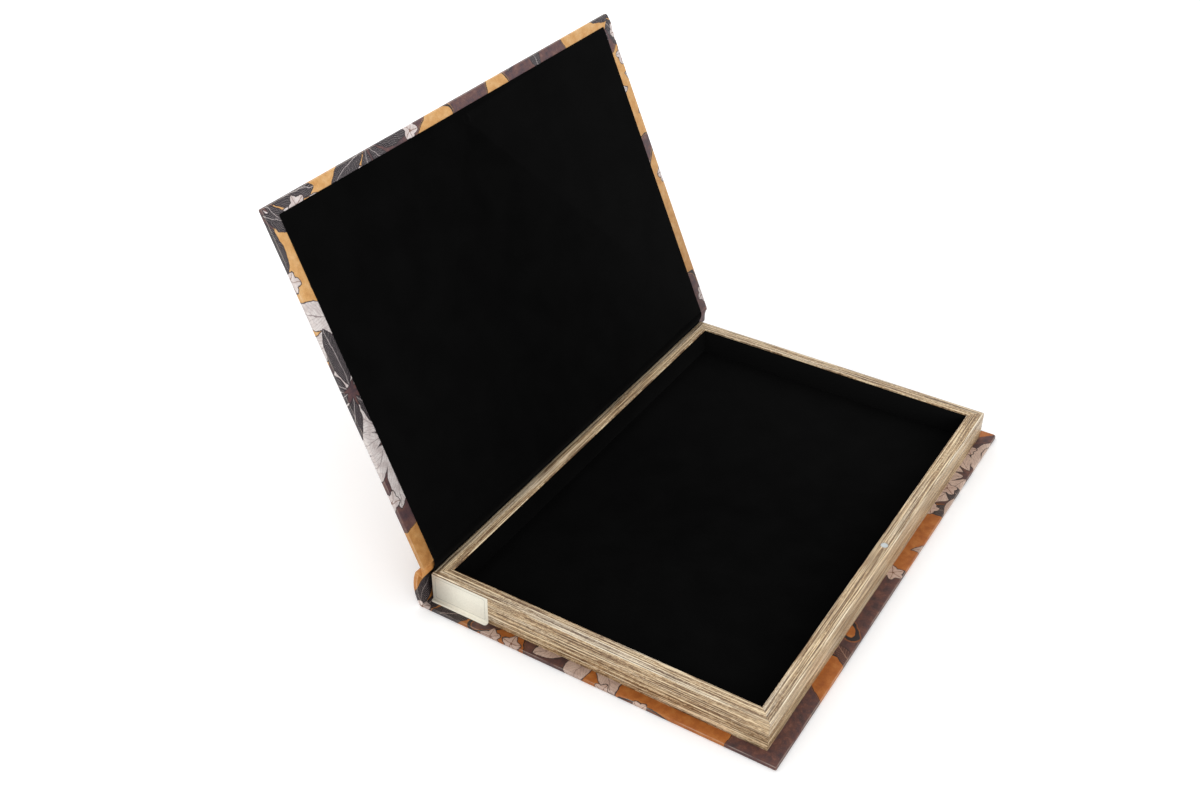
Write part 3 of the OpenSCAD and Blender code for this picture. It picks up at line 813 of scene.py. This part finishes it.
# Over the spine's top, down into the groove and up to the front board
top_side = (-top_heading[1], top_heading[0])
top = (spine[-1][0] - SHEET / 2 * top_side[0], spine[-1][1] - SHEET / 2 * top_side[1])
start = (top[0] + SHEET * top_heading[0], top[1] + SHEET * top_heading[1])
up_lid = (math.cos(LID_ANGLE), math.sin(LID_ANGLE))
edge = lid_open(LID_X0, LID_Z0 + BOARD_THICK - SHEET / 2)
before = (edge[0] - SHEET * up_lid[0], edge[1] - SHEET * up_lid[1])
over = [top, start] + bend(start, top_heading, 0.24, GROOVE, GROOVE_SLOPE, 0.64, 12)
over += bend(GROOVE, GROOVE_SLOPE, 0.2, before, up_lid, 0.45, 14) + [edge]
over = moved_out(over, SHEET / 2)
bm = sweep(over, pinched_sections(over, reach=2.5, held=2.0), 1, SPINE_HALF)
sag_at_head(bm)
piece = finish_piece("front_joint_print", bm, PRINT, "front_joint",
                     blend=("base", "lid", (-0.1214, 0, 0.0283), (-0.1214, 0, 0.0339)))
thicken(piece, JOINT_SHEET, False)

# Velvet


def velvet_strip():
    """The lining over the joint: glued to the tray's side, bent, and up to the lid's lining."""
    side = -TRAY_X - LINING_THICK / 2
    corner = (side, TRAY_TOP - RAIL_SHOULDER / 2)
    end = lid_open(LID_X0, LID_Z0 - LINING_THICK / 2)
    last = (end[0] - LINING_THICK * up_lid[0], end[1] - LINING_THICK * up_lid[1])
    curve = bend(corner, (0, 1), 0.3, last, up_lid, 0.45, 14)
    path = moved_out([(side, TRAY_TOP - LINING_TAIL), corner] + curve + [end], -LINING_THICK / 2)
    bm = sweep(path, [plain_ends(LINING_Y, LINING_THICK)] * len(path), -1)
    strip = finish_piece("hinge_velvet", bm, VELVET, "hinge_lining",
                         blend=("base", "lid", (-0.12, 0, 0.026), (-0.12, 0, 0.035)))
    thicken(strip, LINING_THICK)


def velvet_plate(name, low, high, node):
    """Velvet glued flat, with its cut edges rounded by the pile."""
    bm = box_mesh(low, high)
    # A little under half the thickness, so that the rounded edges don't meet
    edge = 0.42 * min(h - l for l, h in zip(low, high))
    bmesh.ops.bevel(bm, geom=bm.edges[:], offset=edge, offset_type="OFFSET", segments=2, profile=0.5,
                    affect="EDGES", material=-1)
    finish_piece(name, bm, VELVET, node)


def lid_velvet():
    """The lid's lining, with the bump that its magnet raises."""
    z = LID_Z0 - LINING_THICK
    bm = box_mesh((LID_X0, -LINING_Y, z), (FORE_X - LINING_FORE, LINING_Y, LID_Z0 + SHEET))
    long_edges = [e for e in bm.edges if e.calc_length() > 1]
    bmesh.ops.bevel(bm, geom=long_edges, offset=0.22, offset_type="OFFSET", segments=2, profile=0.5,
                    affect="EDGES", material=-1)
    bm.normal_update()
    face = max((f for f in bm.faces if f.normal.z < -0.9), key=lambda f: f.calc_area())
    rim = face.edges[:]
    bmesh.ops.delete(bm, geom=[face], context="FACES_ONLY")
    ring = bmesh.ops.create_circle(bm, cap_ends=False, radius=BUMP_FOOT, segments=40)["verts"]
    bmesh.ops.translate(bm, vec=(MAGNET_X, 0, z), verts=ring)
    loop = [e for e in bm.edges if e.verts[0] in ring and e.verts[1] in ring]
    bmesh.ops.triangle_fill(bm, edges=rim + loop, use_beauty=True)
    # Rings from the bump's foot to its flat top
    for radius, rise in ((3.3, 0.08), (3.0, 0.24), (2.75, 0.35), (2.45, BUMP_RISE), (1.2, BUMP_RISE)):
        made = bmesh.ops.extrude_edge_only(bm, edges=loop)["geom"]
        loop = [g for g in made if isinstance(g, bmesh.types.BMEdge)]
        for v in {v for e in loop for v in e.verts}:
            away = Vector((v.co.x - MAGNET_X, v.co.y)).normalized() * radius
            v.co = (MAGNET_X + away.x, away.y, z - rise)
    bmesh.ops.contextual_create(bm, geom=loop)
    bmesh.ops.recalc_face_normals(bm, faces=bm.faces)
    bmesh.ops.transform(bm, matrix=lid_matrix(), verts=bm.verts)
    finish_piece("lid_velvet", bm, VELVET, "lid_lining", "lid")


velvet_strip()
lid_velvet()
well_x, well_y = TRAY_X - RAIL_WIDTH, TRAY_Y - RAIL_WIDTH
in_x, in_y = well_x - TRAY_LINING, well_y - TRAY_LINING
floor_x, floor_y = well_x - PANEL_PLAY, well_y - PANEL_PLAY
floor_top = PANEL_TOP + TRAY_LINING
velvet_plate("floor_velvet", (-floor_x, -floor_y, PANEL_TOP), (floor_x, floor_y, floor_top), "floor_lining")
for name, node, x0, x1, y0, y1 in (("spine_wall_velvet", "spine_lining", -well_x, -in_x, -well_y, well_y),
                                   ("fore_wall_velvet", "fore_edge_lining", in_x, well_x, -well_y, well_y),
                                   ("tail_wall_velvet", "tail_lining", -in_x, in_x, -well_y, -in_y),
                                   ("head_wall_velvet", "head_lining", -in_x, in_x, in_y, well_y)):
    velvet_plate(name, (x0, y0, floor_top), (x1, y1, TRAY_TOP - LINING_DROP), node)

# Tray


def disc(name, centre, radius, thick, chamfer, node):
    """A disc magnet with its small turned edge."""
    bm = bmesh.new()
    bmesh.ops.create_cone(bm, cap_ends=True, cap_tris=False, segments=64, radius1=radius, radius2=radius,
                          depth=thick)
    rims = [e for e in bm.edges if abs(e.verts[0].co.z - e.verts[1].co.z) < 0.01]
    bmesh.ops.bevel(bm, geom=rims, offset=chamfer, offset_type="OFFSET", segments=3, profile=0.5,
                    affect="EDGES", material=-1)
    bmesh.ops.translate(bm, vec=centre, verts=bm.verts)
    finish_piece(name, bm, NICKEL, node)


def sticker():
    """The sticker: down the tail rail, round the fold and out onto the back cover."""
    y = -TRAY_Y - LABEL_THICK
    low = TRAY_Z0 + LABEL_THICK
    fold, halfway, steps = 0.7, 14.0, 5
    path = [(y, TRAY_TOP - RAIL_SHOULDER), (y, halfway), (y, low + fold)]
    for i in range(1, steps + 1):
        a = math.pi / 2 * i / steps
        path.append((y - fold + fold * math.cos(a), low + fold - fold * math.sin(a)))
    path.append((-TRAY_Y - LABEL_LAP, low))
    bm = bmesh.new()
    edge = bm.edges.new([bm.verts.new((x, *path[0])) for x in (-TRAY_X, -TRAY_X + LABEL_W)])
    for place in path[1:]:
        made = bmesh.ops.extrude_edge_only(bm, edges=[edge])["geom"]
        edge = next(g for g in made if isinstance(g, bmesh.types.BMEdge)
                    and all(v in made for v in g.verts))
        for v in edge.verts:
            v.co.y, v.co.z = place
    bmesh.ops.bevel(bm, geom=list(edge.verts), offset=LABEL_ROUND, offset_type="OFFSET", segments=8,
                    profile=0.5, affect="VERTICES", material=-1)
    bm.normal_update()
    tall = max(bm.faces, key=lambda f: f.calc_area())
    if tall.normal.y > 0:
        bmesh.ops.reverse_faces(bm, faces=bm.faces)
    label = finish_piece("sticker", bm, STICKER, "label_sticker", sharp=60)
    thicken(label, LABEL_THICK * 0.9)


disc("rail_magnet_disc", (MAGNET_X, 0, TRAY_TOP - MAGNET_SINK - MAGNET_THICK / 2), MAGNET_R,
     MAGNET_THICK, chamfer=0.2, node="rail_magnet")
sticker()

for node, material in (("fore_edge_rail", FOIL), ("head_rail", FOIL), ("tail_rail", FOIL),
                       ("spine_rail", FOIL), ("back_board", GREYBOARD), ("front_board", GREYBOARD),
                       ("spine_board", GREYBOARD), ("base_panel", GREYBOARD), ("lid_magnet", NICKEL)):
    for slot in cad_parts[node].material_slots:
        slot.material = material

# Studio


def seen_plainly(tree):
    """1 for what the camera sees, itself or in a polished or clear part, and 0 for the light it gives."""
    path = add(tree, "LightPath")
    seen = add(tree, "Math", {0: path.outputs["Is Camera Ray"], 1: path.outputs["Is Glossy Ray"]},
               operation="MAXIMUM")
    return add(tree, "Math", {0: seen, 1: path.outputs["Is Transmission Ray"]}, operation="MAXIMUM")


def studio_floor():
    """Pale floor that the camera sees as white paper, with the box's soft shadow on it.

    What the lamps leave short of white is added, and more of it away from the box.
    """
    bm = bmesh.new()
    bmesh.ops.create_grid(bm, x_segments=1, y_segments=1, size=6.0)
    mesh = bpy.data.meshes.new("floor")
    bm.to_mesh(mesh)
    bm.free()
    floor = bpy.data.objects.new("floor", mesh)
    floor.location.z = -0.00005
    bpy.context.scene.collection.objects.link(floor)
    material, tree = blank("studio_paper")
    matt = add(tree, "BsdfDiffuse", {"Color": srgb("#f4f4f4")})
    coords = add(tree, "TexCoord")
    away = add(tree, "VectorMath", {0: coords.outputs["Object"]}, operation="LENGTH").outputs["Value"]
    lift = add(tree, "MapRange", {"Value": away, "From Min": 0.2, "From Max": 1.0,
                                  "To Min": 0.16, "To Max": 0.5})
    white = add(tree, "Emission", {"Color": (1, 1, 1, 1), "Strength": lift})
    both_parts = add(tree, "AddShader", {0: matt, 1: white})
    mixed = add(tree, "MixShader", {0: seen_plainly(tree), 1: matt, 2: both_parts})
    add(tree, "OutputMaterial", {"Surface": mixed})
    mesh.materials.append(material)


def studio_world():
    """Even white surroundings, which the camera and polished parts see at full white."""
    world = bpy.data.worlds.new("studio")
    world.use_nodes = True
    tree = world.node_tree
    tree.nodes.clear()
    strength = add(tree, "MapRange", {"Value": seen_plainly(tree), "To Min": 0.78, "To Max": 1.0})
    back = add(tree, "Background", {"Color": (1, 1, 1, 1), "Strength": strength})
    add(tree, "OutputWorld", {"Surface": back})
    bpy.context.scene.world = world


def soft_box(name, place, target, size, watts):
    """A rectangular soft box that looks at a point."""
    light = bpy.data.lights.new(name, "AREA")
    light.shape = "RECTANGLE"
    light.size, light.size_y = size
    light.energy = watts
    lamp = bpy.data.objects.new(name, light)
    lamp.location = place
    lamp.rotation_euler = (Vector(target) - Vector(place)).to_track_quat("-Z", "Y").to_euler()
    bpy.context.scene.collection.objects.link(lamp)


def camera():
    """The photograph's viewpoint: 31.4 degrees round from the tail, 35.1 degrees above the table."""
    place = Vector((0.32638, -0.70713, 0.6416))
    azimuth, elevation, roll = (math.radians(a) for a in (31.39, 35.10, 0.58))
    sensor, picture_width, focal_length = 36.0, 1200, 1428.4
    ahead = Vector((-math.sin(azimuth) * math.cos(elevation), math.cos(azimuth) * math.cos(elevation),
                    -math.sin(elevation)))
    right = Vector((math.cos(azimuth), math.sin(azimuth), 0))
    up = right.cross(ahead)
    right, up = (right * math.cos(roll) + up * math.sin(roll),
                 up * math.cos(roll) - right * math.sin(roll))
    data = bpy.data.cameras.new("camera")
    data.sensor_fit = "HORIZONTAL"
    data.sensor_width = sensor
    data.lens = sensor * focal_length / picture_width
    data.clip_start, data.clip_end = 0.01, 50
    view = bpy.data.objects.new("camera", data)
    view.matrix_world = Matrix.Translation(place) @ Matrix((right, up, -ahead)).transposed().to_4x4()
    bpy.context.scene.collection.objects.link(view)
    bpy.context.scene.camera = view


studio_floor()
studio_world()
soft_box("overhead", (-0.9, 0.3, 1.42), target=(0, 0, 0.05), size=(1.4, 1.4), watts=8.2)
soft_box("front_fill", (1.25, -1.15, 0.76), target=(0, 0, 0.05), size=(1.2, 1.0), watts=9.8)
camera()
bpy.context.scene.view_settings.view_transform = "Standard"
